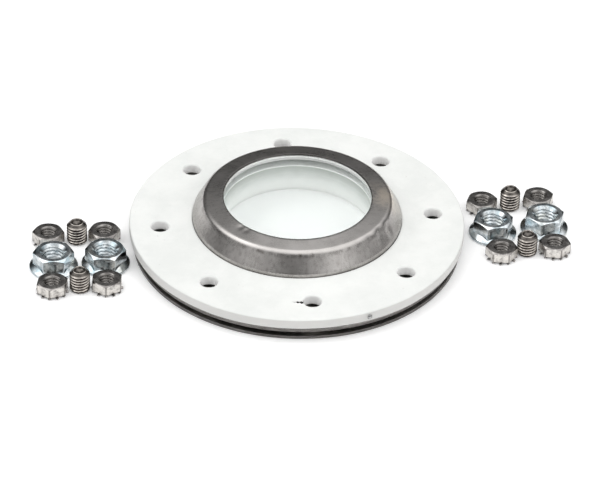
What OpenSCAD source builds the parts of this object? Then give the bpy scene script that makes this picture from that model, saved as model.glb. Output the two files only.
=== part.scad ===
// Round sight glass with its loose mounting hardware, all in millimetres.
// The origin is the centre of the stud circle on the underside of the back plate,
// which is the surface that the whole kit lies on. +Z points to the side one looks in from.
// From the bottom up: back plate, support ring, glass, top seal, bezel; the fibre gasket is
// pushed down round the outside of the bezel's dome. Nuts and screws lie in a group on each side.

/* [Viewing port] */
// Clear diameter of the bezel's opening
opening_d = 58; // [40:1:80]
// How far the glass reaches under the bezel past the opening
glass_overlap = 6.5; // [4:0.5:10]
// Thickness of the glass
glass_t = 6; // [3:0.5:10]
// Thickness of the seal between the glass and the bezel
top_seal_t = 1.5; // [0.8:0.1:3]
// Height of the fibre ring that the glass sits on
support_h = 11.4; // [8:0.1:20]

/* [Bezel] */
// Sheet thickness of the bezel
sheet_t = 1.4; // [0.8:0.1:1.8]
// Outside radius of the bends at the dome's shoulder and at the top of its wall
bend_r = 2.6; // [2:0.1:3.5]
// Inside radius of the bend between the dome's wall and its flange
foot_r = 3.4; // [2.4:0.1:4.5]
// How much wider the dome's wall is at its foot than at its shoulder, on each side
flare = 3.4; // [2:0.1:6]
// Free space round the glass inside the dome
glass_gap = 0.9; // [0.4:0.1:2]
// Gap that is left between the bezel's flange and the back plate until the nuts close it
closing_gap = 2; // [1:0.1:4]

/* [Stud circle] */
// Distance from the dome's wall to the stud circle
stud_inset = 12.8; // [11:0.1:18]
// Width of flange beyond the stud circle
rim_w = 10.5; // [7:0.5:15]
// Number of stud holes
stud_count = 8; // [4:1:12]
// Diameter of the stud holes
stud_hole_d = 7; // [5:0.1:8]
// Angle of the first stud hole
stud_phase = 7.2; // [0:0.1:45]

/* [Back plate] */
// Thickness of the back plate
plate_t = 1.2; // [0.8:0.1:3]
// How far the back plate's opening stands back from the support ring's bore
plate_setback = 0.4; // [0:0.1:4]

/* [Gasket] */
// Thickness of the outer gasket
gasket_t = 4.3; // [2:0.1:8]
// How far the gasket reaches past the flange
gasket_overhang = 1.75; // [0.5:0.25:5]
// Height of the gasket's underside above the flange
gasket_lift = 1.2; // [0.6:0.1:2]
// Width of the band that rises where the gasket rides up the bend at the dome's foot
gasket_rise_w = 6.5; // [4:0.5:8]
// Clearance between the gasket and the dome's wall
gasket_fit = 0.05; // [0.05:0.05:0.3]
// Radius of the gasket's outer edges
gasket_edge_r = 0.6; // [0.3:0.1:1.2]

/* [Gasket tack] */
// Angle at which the small tack is driven into the gasket's edge
tack_angle = -64.4; // [-90:0.1:0]
// Diameter of the tack's shank
tack_d = 1; // [0.6:0.1:1.4]
// Length of the shank
tack_len = 4; // [2:0.5:6]
// Diameter of the tack's round head
tack_head_d = 1.9; // [1.4:0.1:2.5]
// Height of the tack's head
tack_head_h = 0.7; // [0.4:0.1:1]

/* [Lock nuts] */
// Width across flats of a lock nut
lock_af = 11.1; // [9.5:0.1:12.7]
// Overall height of a lock nut on its washer
lock_h = 5; // [4:0.1:7]
// Bore radius of a lock nut at the crests of its thread
lock_bore_r = 2.6; // [2.2:0.1:3]
// Depth of the countersink at each end of its bore
lock_sink = 0.8; // [0.4:0.1:1]
// Width of the toothed washer's plain ring outside the swage that holds it
washer_band = 0.55; // [0.3:0.05:1.2]
// Length of its teeth
tooth_len = 1.2; // [0.6:0.1:1.5]
// Thickness of the washer's sheet
washer_t = 0.5; // [0.4:0.1:0.8]
// How far the washer's inner edge stands above its teeth
washer_dish = 0.4; // [0.2:0.1:0.8]
// Number of teeth
washer_teeth = 12; // [8:1:16]
// Radius of the nut's collar that the washer turns on
collar_r = 4.1; // [3.6:0.1:5]

/* [Flange nuts] */
// Width across flats of a flange nut
flange_nut_af = 14.1; // [12.7:0.1:15]
// How far its flange reaches past the hexagon's corners
flange_reach = 1.36; // [1:0.02:2.5]
// Height of a flange nut
flange_nut_h = 7.6; // [6:0.1:10]
// Bore radius of a flange nut at the crests of its thread
flange_nut_bore_r = 4; // [3.4:0.1:4.4]
// Depth of the countersink at each end of its bore
flange_nut_sink = 1.3; // [0.6:0.1:1.8]
// Thickness of the flange at its rim
flange_rim_t = 1.1; // [0.8:0.1:1.6]

/* [Set screws] */
// Thread diameter of a set screw
screw_d = 8; // [6:1:10]
// Length of a set screw
screw_len = 9.2; // [8:0.1:14]
// Pitch of its thread
screw_pitch = 1.25; // [1:0.25:1.5]
// Diameter of the cup point
cup_d = 5; // [3:0.1:5.5]
// Width across flats of the hex socket
socket_af = 4; // [2:0.5:4]
// Depth of the hex socket
socket_depth = 4; // [2:0.5:5]

/* [Layout of the loose hardware] */
// Distance in X from the gasket's widest point to the left group, below 0 where the gasket curves away
left_gap = -1.5; // [-1.5:0.1:20]
// The same for the right group
right_gap = 1.8; // [1.5:0.1:20]
// Y of the left group's middle row
left_y = -20; // [-30:0.5:30]
// Y of the right group's middle row
right_y = 11; // [-30:0.5:30]
// Space left between the columns of a group
column_gap = 0.3; // [0.3:0.1:5]
// Space left between its rows
row_gap = 0.7; // [0.7:0.1:5]

/* [Hidden] */
$fn = 96;
ARC_STEPS = 8;
SLACK = 0.05;          // running and seating clearance between loose pieces
CUT = 1;               // how far a cutting shape runs past what it cuts
SUPPORT_INSET = 0.3;   // how far the support ring stays inside the glass's edge
SUPPORT_STEP = 0.2;    // how far its bore stands back from the opening
SEAL_INSET = 1;        // how far the top seal stays inside the glass's edge
SEAL_STEP = 0.4;       // how far its bore stands back from the opening
WALL_MARGIN = 0.5;     // height of upright wall that is left above the gasket
HEX_CROWN = 0.96;      // share of a hexagon's width that its top chamfer leaves flat
THREAD_SHARE = 0.61;   // depth of an outside thread, as a share of its pitch
SWAGE_REACH = 0.5;     // how far the lock nut's swaged foot holds the washer's inner edge
COLLAR_Z = 0.1;        // height of the lock nut's collar above the washer's tooth tips
TAIL_CHAMFER = 0.7;    // chamfer at the set screw's socket end

// Radii, from the opening outwards
opening_r = opening_d / 2;
glass_r = opening_r + glass_overlap;
shoulder_x = glass_r + glass_gap - (bend_r - sheet_t);
wall_r = shoulder_x + flare + bend_r;
stud_r = wall_r + stud_inset;
flange_r = stud_r + rim_w;
gasket_r = flange_r + gasket_overhang;
gasket_bore_r = wall_r + gasket_fit;
support_bore_r = opening_r + SUPPORT_STEP;
support_r = glass_r - SUPPORT_INSET;
seal_bore_r = opening_r + SEAL_STEP;
seal_r = glass_r - SEAL_INSET;
plate_bore_r = support_bore_r + plate_setback;

// Heights, from the table upwards
support_z = plate_t;
glass_z = support_z + support_h;
seal_z = glass_z + glass_t;
lip_z = seal_z + top_seal_t;
top_z = lip_z + sheet_t;
flange_z = plate_t + closing_gap;
flange_top_z = flange_z + sheet_t;
gasket_z = flange_top_z + gasket_lift;
gasket_top_z = gasket_z + gasket_t;
foot_reach = foot_r - gasket_fit;
gasket_seat_z = flange_top_z + foot_r - sqrt(foot_r * foot_r - foot_reach * foot_reach) + SLACK;
gasket_rise = gasket_seat_z - gasket_z;
shoulder_z = top_z - bend_r;
wall_top_z = gasket_top_z + gasket_rise + WALL_MARGIN;
cone_a = atan2(flare, shoulder_z - wall_top_z);

// Lock nut and washer, seen in section
lock_corner_r = lock_af / sqrt(3);
washer_top_z = washer_dish + washer_t;
nut_seat_z = washer_top_z + SLACK;
swage_z = washer_dish - SLACK;
swage_r = collar_r + SWAGE_REACH;
washer_root_r = swage_r + SLACK + washer_band;
washer_r = washer_root_r + tooth_len;

// Flange nut
flange_corner_r = flange_nut_af / sqrt(3);
flange_nut_r = flange_corner_r + flange_reach;

// Set screw thread, seen in section
screw_r = screw_d / 2;
thread_depth = THREAD_SHARE * screw_pitch;
cup_r = cup_d / 2;
nose_chamfer = screw_r - cup_r;
thread_turns = floor((screw_len - nose_chamfer - TAIL_CHAMFER) / screw_pitch);
thread_z = screw_len - nose_chamfer - thread_turns * screw_pitch;

// A group is a grid of three columns by three rows with the flange nuts in its middle row
lock_spot_r = max(washer_r, lock_corner_r);
row_pitch = max(flange_nut_r, screw_r) + lock_spot_r + row_gap;
col_pitch = max(flange_nut_r, screw_r + lock_spot_r) + column_gap;
group_x = gasket_r + flange_nut_r + col_pitch;
LEFT = [-group_x - left_gap, left_y];
RIGHT = [group_x + right_gap, right_y];

// Each spot is [group, column, row, small offset in X, small offset in Y, turn in degrees]
LOCK_NUT_SPOTS = [
    [LEFT, -1, 1, -2, -1.7, 0],
    [LEFT, 1, 1, -1.5, 0.6, 7],
    [LEFT, -1, -1, 2, -1.3, 24],
    [LEFT, 1, -1, 1.5, 1.5, 30],
    [RIGHT, -1, 1, -3.7, -2.7, 13],
    [RIGHT, 1, 1, -2.4, 1.3, 16],
    [RIGHT, -1, -1, 3.2, -1.7, -4],
    [RIGHT, 1, -1, 2.8, 2.5, -7]];
FLANGE_NUT_SPOTS = [
    [LEFT, -1, 0, 1.3, -2, 4],
    [LEFT, 1, 0, 0, 0.7, 0],
    [RIGHT, -1, 0, 0.2, -2.7, 13],
    [RIGHT, 1, 0, -0.6, 1.4, 17]];
SCREW_SPOTS = [
    [LEFT, 0, 1, -1.5, -0.7, 10],
    [LEFT, 0, -1, 1.8, 0.6, 40],
    [RIGHT, 0, 1, -3.1, -0.9, 25],
    [RIGHT, 0, -1, 2.6, 1.4, 55]];

// Points of an arc about c, from angle a to angle b
function arc(c, r, a, b) =
    [for (i = [0:ARC_STEPS]) let (t = a + (b - a) * i / ARC_STEPS) c + r * [cos(t), sin(t)]];

function reversed(points) = [for (i = [len(points) - 1:-1:0]) points[i]];

// One side of the bezel's sheet in section, from the opening out to the flange's rim:
// inset is 0 for the outer side and the sheet thickness for the inner side
function bezel_side(inset) = concat(
    [[opening_r, top_z - inset]],
    arc([shoulder_x, shoulder_z], bend_r - inset, 90, cone_a),
    arc([wall_r - bend_r, wall_top_z], bend_r - inset, cone_a, 0),
    arc([wall_r + foot_r, flange_top_z + foot_r], foot_r + inset, 180, 270),
    [[flange_r, flange_top_z - inset]]);

// A flat ring, from z up to z + h
module ring(r_out, r_in, z, h) {
    translate([0, 0, z])
        difference() {
            cylinder(r = r_out, h = h);
            translate([0, 0, -CUT]) cylinder(r = r_in, h = h + 2 * CUT);
        }
}

// The stud holes, cut through everything between z and z + h
module stud_holes(z, h) {
    for (i = [0:stud_count - 1])
        rotate([0, 0, stud_phase + i * 360 / stud_count])
            translate([stud_r, 0, z - CUT]) cylinder(d = stud_hole_d, h = h + 2 * CUT);
}

// Puts a piece of hardware on its spot
module at_spot(spot) {
    translate([spot[0][0] + spot[1] * col_pitch + spot[3], spot[0][1] + spot[2] * row_pitch + spot[4], 0])
        rotate([0, 0, spot[5]])
            children();
}

// A hexagonal prism from z_low to z_high, its top corners turned off by a 30 degree chamfer
module chamfered_hex(af, z_low, z_high) {
    corner_r = af / sqrt(3);
    flat_r = HEX_CROWN * af / 2;
    outer_r = corner_r + CUT;
    intersection() {
        translate([0, 0, z_low]) cylinder(r = corner_r, h = z_high - z_low, $fn = 6);
        rotate_extrude()
            polygon([[0, z_low - CUT], [outer_r, z_low - CUT],
                [outer_r, z_high - (outer_r - flat_r) * tan(30)], [flat_r, z_high], [0, z_high]]);
    }
}

// A bore with a 45 degree countersink at each end, from z_low to z_high
module countersunk_bore(r, sink, z_low, z_high) {
    rotate_extrude()
        polygon([[0, z_low - CUT], [r + sink + CUT, z_low - CUT], [r, z_low + sink], [r, z_high - sink],
            [r + sink + CUT, z_high + CUT], [0, z_high + CUT]]);
}

module back_plate() {
    color("darkgray")
        difference() {
            ring(flange_r, plate_bore_r, 0, plate_t);
            stud_holes(0, plate_t);
        }
}

module support_ring() {
    color("white") ring(support_r, support_bore_r, support_z, support_h);
}

module glass() {
    chamfer = 0.5;
    color("azure", 0.4)
        rotate_extrude()
            polygon([[0, glass_z], [glass_r - chamfer, glass_z], [glass_r, glass_z + chamfer],
                [glass_r, seal_z - chamfer], [glass_r - chamfer, seal_z], [0, seal_z]]);
}

module top_seal() {
    color("white") ring(seal_r, seal_bore_r, seal_z, top_seal_t);
}

module bezel() {
    color("silver")
        difference() {
            rotate_extrude() polygon(concat(bezel_side(0), reversed(bezel_side(sheet_t))));
            stud_holes(flange_z, sheet_t);
        }
}

module gasket() {
    rise_end_r = gasket_bore_r + gasket_rise_w;
    rim_x = gasket_r - gasket_edge_r;
    color("ivory")
        difference() {
            rotate_extrude()
                polygon(concat(
                    [[gasket_bore_r, gasket_z + gasket_rise], [rise_end_r, gasket_z]],
                    arc([rim_x, gasket_z + gasket_edge_r], gasket_edge_r, -90, 0),
                    arc([rim_x, gasket_top_z - gasket_edge_r], gasket_edge_r, 0, 90),
                    [[rise_end_r, gasket_top_z], [gasket_bore_r, gasket_top_z + gasket_rise]]));
            stud_holes(gasket_z, gasket_t);
            tack_place() cylinder(d = tack_d, h = tack_len);
        }
}

// Z runs into the gasket from the foot of the tack's head
module tack_place() {
    rotate([0, 0, tack_angle])
        translate([gasket_r, 0, gasket_z + gasket_t / 2])
            rotate([0, -90, 0]) children();
}

module gasket_tack() {
    head_r = tack_head_d / 2;
    color("silver")
        tack_place() {
            cylinder(d = tack_d, h = tack_len);
            rotate_extrude()
                polygon(concat([[0, 0]], [for (i = [0:ARC_STEPS]) let (t = 90 * i / ARC_STEPS)
                    [head_r * cos(t), -tack_head_h * sin(t)]]));
        }
}

module lock_nut(i) {
    color("gray")
        at_spot(LOCK_NUT_SPOTS[i - 1])
            difference() {
                union() {
                    chamfered_hex(lock_af, nut_seat_z, lock_h);
                    translate([0, 0, COLLAR_Z]) cylinder(r = collar_r, h = nut_seat_z);
                    translate([0, 0, COLLAR_Z]) cylinder(r = swage_r, h = swage_z - COLLAR_Z);
                }
                countersunk_bore(lock_bore_r, lock_sink, COLLAR_Z, lock_h);
            }
}

module lock_washer(i) {
    bore_r = collar_r + SLACK;
    notch_w = PI * washer_r / washer_teeth;
    color("dimgray")
        at_spot(LOCK_NUT_SPOTS[i - 1])
            difference() {
                rotate_extrude()
                    polygon([[bore_r, washer_dish], [swage_r + SLACK, washer_dish], [washer_r, 0],
                        [washer_r, washer_t], [swage_r + SLACK, washer_top_z], [bore_r, washer_top_z]]);
                for (k = [0:washer_teeth - 1])
                    rotate([0, 0, (k + 0.5) * 360 / washer_teeth])
                        translate([washer_root_r, -notch_w / 2, -CUT])
                            cube([2 * tooth_len, notch_w, washer_top_z + 2 * CUT]);
            }
}

module flange_nut(i) {
    rim_bend_r = flange_rim_t / 2;
    slope_inset = 0.2;
    slope_r = flange_nut_af / 2 - slope_inset;
    slope_h = 1.4;
    color("lightsteelblue")
        at_spot(FLANGE_NUT_SPOTS[i - 1])
            difference() {
                union() {
                    chamfered_hex(flange_nut_af, rim_bend_r, flange_nut_h);
                    rotate_extrude()
                        polygon(concat([[0, 0]],
                            arc([flange_nut_r - rim_bend_r, rim_bend_r], rim_bend_r, -90, 60),
                            [[slope_r, flange_rim_t + slope_h], [0, flange_rim_t + slope_h]]));
                }
                countersunk_bore(flange_nut_bore_r, flange_nut_sink, 0, flange_nut_h);
            }
}

module set_screw(i) {
    root_r = screw_r - thread_depth;
    crest = screw_pitch / 8;
    slope = (screw_pitch - 2 * crest) / 2;
    socket_r = socket_af / sqrt(3);
    cup_depth = cup_r * tan(30);
    color("tan")
        at_spot(SCREW_SPOTS[i - 1])
            difference() {
                rotate_extrude()
                    polygon(concat(
                        [[0, 0], [screw_r - TAIL_CHAMFER, 0], [screw_r, TAIL_CHAMFER]],
                        [for (k = [0:thread_turns - 1], p = [[screw_r, 0], [root_r, slope],
                            [root_r, slope + crest], [screw_r, 2 * slope + crest]])
                            [p[0], thread_z + k * screw_pitch + p[1]]],
                        [[screw_r, screw_len - nose_chamfer], [cup_r, screw_len],
                            [0, screw_len - cup_depth]]));
                translate([0, 0, -CUT]) cylinder(r = socket_r, h = socket_depth + CUT, $fn = 6);
            }
}

back_plate();
support_ring();
glass();
top_seal();
bezel();
gasket();
gasket_tack();
for (i = [1:len(LOCK_NUT_SPOTS)]) lock_nut(i);
for (i = [1:len(LOCK_NUT_SPOTS)]) lock_washer(i);
for (i = [1:len(FLANGE_NUT_SPOTS)]) flange_nut(i);
for (i = [1:len(SCREW_SPOTS)]) set_screw(i);
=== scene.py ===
import math

import bpy
import numpy as np
from mathutils import Matrix, Vector


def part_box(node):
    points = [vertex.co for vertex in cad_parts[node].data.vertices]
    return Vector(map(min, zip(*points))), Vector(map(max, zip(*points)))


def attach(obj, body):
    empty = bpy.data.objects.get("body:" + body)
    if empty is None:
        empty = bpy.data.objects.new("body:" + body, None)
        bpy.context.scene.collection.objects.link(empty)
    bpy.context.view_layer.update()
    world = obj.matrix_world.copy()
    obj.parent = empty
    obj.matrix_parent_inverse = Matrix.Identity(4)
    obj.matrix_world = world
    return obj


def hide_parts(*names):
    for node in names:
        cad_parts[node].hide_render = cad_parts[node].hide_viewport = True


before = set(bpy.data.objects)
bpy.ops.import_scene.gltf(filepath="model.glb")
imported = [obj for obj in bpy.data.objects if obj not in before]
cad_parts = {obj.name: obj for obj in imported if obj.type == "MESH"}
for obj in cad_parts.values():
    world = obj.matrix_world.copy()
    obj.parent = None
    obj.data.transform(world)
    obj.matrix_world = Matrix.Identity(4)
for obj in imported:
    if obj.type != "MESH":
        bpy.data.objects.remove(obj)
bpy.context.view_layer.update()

# ---------------------------------------------------------------- sizes, in millimetres

MM = 0.001
OPENING_R = 29.0         # clear radius of the bezel's opening
SHEET = 1.4              # thickness of the bezel's sheet
BEND_R = 2.6             # outside radius of its bends
FOOT_R = 3.4             # inside radius of the bend at the dome's foot
SHOULDER_R = 35.2        # radius at which the dome's top turns down
WALL_R = 41.2            # radius of the upright wall above the foot
WALL_TOP = 12.27         # height at which the wall starts to lean in
CROWN_DROP = 0.62        # how much lower the dome's top is at the shoulder than at the opening
GASKET_BORE_R = 41.25
GASKET_T = 4.3
RISE_W = 6.5             # width of the band in which the gasket rises to the dome
STUD_CIRCLE_R = 54.0
STUD_HOLE_R = 3.5
STUD_COUNT = 8
STUD_PHASE = 7.2         # degrees
SEAL_BORE_R = 29.4
SUPPORT_BORE_R = 29.2
PLATE_BORE_R = 29.6
TACK_ANGLE = -64.4       # degrees
TACK_HEAD_R = 0.95
TACK_HEAD_H = 0.7
EDGE_EASE = 0.12         # how far the edges of a hole in sheet metal are eased
BOARD_EASE = 0.7         # the same in the gasket's soft board
TEAR_DEPTH = 1.3

LOCK_AF = 11.1           # width across flats of a lock nut
LOCK_H = 5.0
LOCK_BORE_R = 2.6
LOCK_SINK = 0.8
LOCK_PITCH = 1.27
LOCK_THREAD = 0.5        # depth of its thread
LOCK_SEAT_Z = 0.95       # underside of its hexagon
COLLAR_R = 4.1           # collar on which the washer turns
COLLAR_Z = 0.1
SWAGE_R = 4.6            # swaged foot that holds the washer
SWAGE_Z = 0.35
WASHER_BORE_R = 4.15
WASHER_BORE_LOW = 0.42   # lower and upper edge of the dished ring at its bore
WASHER_BORE_TOP = 0.88
WASHER_ROOT_Z = 0.30     # lower edge of the ring at its teeth
TOOTH_ROOT_R = 5.15
WASHER_R = 6.4
WASHER_T = 0.45
TEETH = 12
TOOTH_TWIST = 35.0       # degrees

FLANGE_AF = 14.1         # width across flats of a flange nut
FLANGE_NUT_R = 9.5
FLANGE_NUT_H = 7.6
FLANGE_BORE_R = 4.0
FLANGE_SINK = 1.3
FLANGE_PITCH = 1.5875
FLANGE_THREAD = 0.55     # depth of its thread
FLANGE_RIM = 1.1         # height of the flange's rim
FLANGE_CONE = 1.4        # rise from the rim to the hexagon

SCREW_R = 4.0
SCREW_H = 9.2
SCREW_PITCH = 1.25
SCREW_THREAD = 0.61 * SCREW_PITCH
CUP_R = 2.5
SOCKET_AF = 4.0
SOCKET_DEPTH = 4.0

NUT_CROWN = 0.96         # share of a hexagon's width that its top chamfer leaves flat
CREASE_ANGLE = 32        # edges sharper than this many degrees are shaded as edges

# Columns of faces round each turned piece
PLATE_COLUMNS = 360
RING_COLUMNS = 240
BEZEL_COLUMNS = 420
GASKET_COLUMNS = 540
PLUG_COLUMNS = 48
TACK_COLUMNS = 32
WASHER_COLUMNS = 144
HARDWARE_COLUMNS = 216

# How far each nut and screw is turned where it lies, in degrees
LOCK_TURNS = (0, 7, 24, 30, 13, 16, -4, -7)
FLANGE_TURNS = (4, 0, 13, 17)
SCREW_TURNS = (10, 40, 25, 55)


def span(node):
    """Lowest and highest Z of a CAD node, in millimetres."""
    low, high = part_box(node)
    return low.z / MM, high.z / MM


def reach(node):
    """Outer radius of a CAD node that is centred on the Z axis, in millimetres."""
    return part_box(node)[1].x / MM


PLATE_LOW, PLATE_TOP = span("back_plate")
SUPPORT_LOW, SUPPORT_TOP = span("support_ring")
GLASS_LOW, GLASS_TOP = span("glass")
SEAL_LOW, SEAL_TOP = span("top_seal")
BEZEL_LOW, BEZEL_TOP = span("bezel")
GASKET_LOW, GASKET_HIGH = span("gasket")
GASKET_TOP = GASKET_LOW + GASKET_T     # upper face of its flat part
FLANGE_TOP = BEZEL_LOW + SHEET
FLANGE_R = reach("bezel")
GASKET_R = reach("gasket")

# ---------------------------------------------------------------- outlines and turned meshes


def rounded(corners, steps=4):
    """A line through corners (radius, height, fillet), each inner corner eased by its fillet.
    A radius or height may be an array with one value for each column of the turned mesh."""
    size = np.broadcast_shapes(*[np.shape(value) for corner in corners for value in corner[:2]])
    places = [np.stack([np.broadcast_to(c[0], size), np.broadcast_to(c[1], size)]) for c in corners]
    line = []
    for index, place in enumerate(places):
        fillet = corners[index][2]
        if fillet == 0 or index in (0, len(places) - 1):
            line.append(place)
            continue
        before = places[index - 1] - place
        after = places[index + 1] - place
        length_before = np.linalg.norm(before, axis=0)
        length_after = np.linalg.norm(after, axis=0)
        cosine = (before * after).sum(axis=0) / (length_before * length_after)
        half = np.arccos(np.clip(cosine, -1, 1)) / 2
        ease = np.minimum(fillet / np.tan(half), 0.45 * np.minimum(length_before, length_after))
        start = place + before / length_before * ease
        end = place + after / length_after * ease
        for step in range(steps + 1):
            t = step / steps
            line.append((1 - t) ** 2 * start + 2 * t * (1 - t) * place + t ** 2 * end)
    return np.array(line)


def arc(centre, radius, start, end, steps):
    """Points of an arc in the section plane, with its angles in degrees."""
    angles = np.radians(np.linspace(start, end, steps + 1))
    return np.stack([centre[0] + radius * np.cos(angles), centre[1] + radius * np.sin(angles)], 1)


def filled(line, longest):
    """The same line with no stretch longer than longest."""
    places = [line[:1]]
    for start, end in zip(line[:-1], line[1:]):
        count = max(1, math.ceil(np.linalg.norm(end - start) / longest))
        places.append(start + (end - start) * np.linspace(0, 1, count + 1)[1:, None])
    return np.concatenate(places)


def sheet_outline(line, thickness, nose):
    """A closed outline round a sheet whose outer side is the line, with rounded ends."""
    along = np.gradient(line, axis=0)
    along /= np.linalg.norm(along, axis=1, keepdims=True)
    inward = np.stack([along[:, 1], -along[:, 0]], 1) * thickness
    turns = np.radians(np.linspace(0, 180, 9))[1:-1, None]
    bulge = nose * np.sin(turns) ** 0.5
    far_end = line[-1] + inward[-1] * (1 - np.cos(turns)) / 2 + along[-1] * bulge
    near_end = line[0] + inward[0] * (1 + np.cos(turns)) / 2 - along[0] * bulge
    return np.concatenate([line, far_end, (line + inward)[::-1], near_end])


def closed_ring(corners, steps=4, longest=None):
    """A closed outline with every corner eased, for a ring of square or shaped section."""
    middle = [(corners[0][axis] + corners[-1][axis]) / 2 for axis in (0, 1)]
    line = rounded([(*middle, 0), *corners, (*middle, 0)], steps)[:-1]
    if longest is None:
        return line
    return filled(np.concatenate([line, line[:1]]), longest)[:-1]


def column_angles(columns):
    """The angle of each column of a turned mesh, in radians."""
    return np.arange(columns) * 2 * math.pi / columns


def turned_mesh(name, radius, height, closed):
    """Turns rows of (radius, height), each with one value for every column, into a mesh.
    A closed section gives a ring; an open one starts and ends on the axis."""
    rows, columns = radius.shape
    angles = column_angles(columns)
    places = np.stack([radius * np.cos(angles), radius * np.sin(angles), height], 2).reshape(-1, 3)
    row = np.arange(rows if closed else rows - 1)[:, None]
    column = np.arange(columns)[None, :]
    next_row = (row + 1) % rows
    next_column = (column + 1) % columns
    faces = np.stack([row * columns + column, row * columns + next_column,
                      next_row * columns + next_column, next_row * columns + column], 2)
    faces = faces.reshape(-1, 4).tolist()
    if not closed:
        first, last = len(places), len(places) + 1
        places = np.concatenate([places, [[0, 0, height[0].mean()], [0, 0, height[-1].mean()]]])
        tail = (rows - 1) * columns
        for index in range(columns):
            after = (index + 1) % columns
            faces.append([after, index, first])
            faces.append([tail + index, tail + after, last])
    return solid_mesh(name, places, faces)


def solid_mesh(name, places, faces):
    """A closed mesh from places in millimetres, with its faces pointing outwards."""
    mesh = bpy.data.meshes.new(name)
    mesh.from_pydata((np.array(places) * MM).tolist(), [], faces)
    if volume(mesh) < 0:
        mesh.flip_normals()
    return mesh


def turned_line(name, line, columns):
    """Turns one line of (radius, height) that starts and ends by the axis into a mesh."""
    return turned_mesh(name, np.repeat(line[:, :1], columns, 1), np.repeat(line[:, 1:], columns, 1), False)


def volume(mesh):
    """Signed volume of a closed mesh, below zero where its faces point inwards."""
    mesh.calc_loop_triangles()
    corners = np.zeros(len(mesh.vertices) * 3)
    mesh.vertices.foreach_get("co", corners)
    triangles = np.zeros(len(mesh.loop_triangles) * 3, int)
    mesh.loop_triangles.foreach_get("vertices", triangles)
    a, b, c = corners.reshape(-1, 3)[triangles.reshape(-1, 3)].transpose(1, 0, 2)
    return (a * np.cross(b, c)).sum() / 6


def lathed(name, outline, columns, shape=None):
    """A ring turned from a closed outline; shape may change its radius, height and angle arrays."""
    radius = np.repeat(outline[:, :1], columns, 1)
    height = np.repeat(outline[:, 1:2], columns, 1)
    if shape:
        radius, height = shape(radius, height, column_angles(columns)[None, :])
    return turned_mesh(name, radius, height, True)


def eased(value, low, high):
    """Runs softly from 0 at low to 1 at high."""
    t = np.clip((value - low) / (high - low), 0, 1)
    return t * t * (3 - 2 * t)


def waves(angle, seed, low, high):
    """A slow wander round the circle between -1 and 1, the same on every run."""
    random = np.random.RandomState(seed)
    count = np.arange(low, high)
    strength = random.uniform(0.4, 1, len(count)) / np.sqrt(count)
    phase = random.uniform(0, 2 * math.pi, len(count))
    total = sum(s * np.sin(k * angle + p) for s, k, p in zip(strength, count, phase))
    return total / strength.sum()


def spot_weight(radius, angle, place, size):
    """A soft round weight about a place (radius in mm, angle in degrees)."""
    centre_r, centre_a = place[0], math.radians(place[1])
    x = radius * np.cos(angle) - centre_r * math.cos(centre_a)
    y = radius * np.sin(angle) - centre_r * math.sin(centre_a)
    return np.exp(-(x * x + y * y) / (size * size))


# ---------------------------------------------------------------- node trees for what repeats


def new_tree(name, inputs):
    """An empty Geometry Nodes tree with its named inputs."""
    tree = bpy.data.node_groups.new(name, "GeometryNodeTree")
    tree.interface.new_socket("Geometry", in_out="INPUT", socket_type="NodeSocketGeometry")
    for label, kind in inputs:
        tree.interface.new_socket(label, in_out="INPUT", socket_type="NodeSocket" + kind)
    tree.interface.new_socket("Geometry", in_out="OUTPUT", socket_type="NodeSocketGeometry")
    return tree, tree.nodes.new("NodeGroupInput"), tree.nodes.new("NodeGroupOutput")


def step(tree, kind, **links):
    """Adds a geometry node; each link is a socket or a value for the input of that name."""
    made = tree.nodes.new(kind)
    for label, value in links.items():
        connect(tree, value, made.inputs[label.replace("_", " ")])
    return made


def connect(tree, value, socket):
    """Links a socket to another, or sets it to a value."""
    if isinstance(value, bpy.types.NodeSocket):
        tree.links.new(value, socket)
    else:
        socket.default_value = value


def computed(tree, operation, first, second):
    """The outcome of one sum in a node tree of any kind."""
    made = tree.nodes.new("ShaderNodeMath")
    made.operation = operation
    connect(tree, first, made.inputs[0])
    connect(tree, second, made.inputs[1])
    return made.outputs[0]


def circle_of_instances(tree, given):
    """Instances of the Tool object on a circle, each turned to face outwards."""
    ring = step(tree, "GeometryNodeMeshCircle", Vertices=given.outputs["Count"],
                Radius=given.outputs["Circle radius"])
    tool = step(tree, "GeometryNodeObjectInfo", Object=given.outputs["Tool"])
    index = tree.nodes.new("GeometryNodeInputIndex").outputs[0]
    share = computed(tree, "DIVIDE", index, given.outputs["Count"])
    turn = computed(tree, "MULTIPLY", share, 2 * math.pi)
    rotation = step(tree, "ShaderNodeCombineXYZ", Z=turn)
    placed = step(tree, "GeometryNodeInstanceOnPoints", Points=ring.outputs["Mesh"],
                  Instance=tool.outputs["Geometry"], Rotation=rotation.outputs[0])
    phase = step(tree, "ShaderNodeCombineXYZ", Z=given.outputs["Phase"])
    turned = step(tree, "GeometryNodeTransform", Geometry=placed.outputs[0], Rotation=phase.outputs[0])
    return step(tree, "GeometryNodeRealizeInstances", Geometry=turned.outputs[0])


CIRCLE_INPUTS = [("Tool", "Object"), ("Count", "Int"), ("Circle radius", "Float"),
                 ("Phase", "Float"), ("Finish", "Material")]


def circle_tree(name, operation):
    """A tree that cuts the circle of tools from the piece, or welds them to it."""
    tree, given, result = new_tree(name, CIRCLE_INPUTS)
    tools = circle_of_instances(tree, given)
    joined = tree.nodes.new("GeometryNodeMeshBoolean")
    joined.operation = operation
    joined.solver = "MANIFOLD"
    own_input = "Mesh 1" if operation == "DIFFERENCE" else "Mesh 2"
    tree.links.new(given.outputs["Geometry"], joined.inputs[own_input])
    tree.links.new(tools.outputs[0], joined.inputs["Mesh 2"])
    finish = step(tree, "GeometryNodeSetMaterial", Geometry=joined.outputs["Mesh"],
                  Material=given.outputs["Finish"])
    tree.links.new(finish.outputs[0], result.inputs[0])
    return tree


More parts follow.
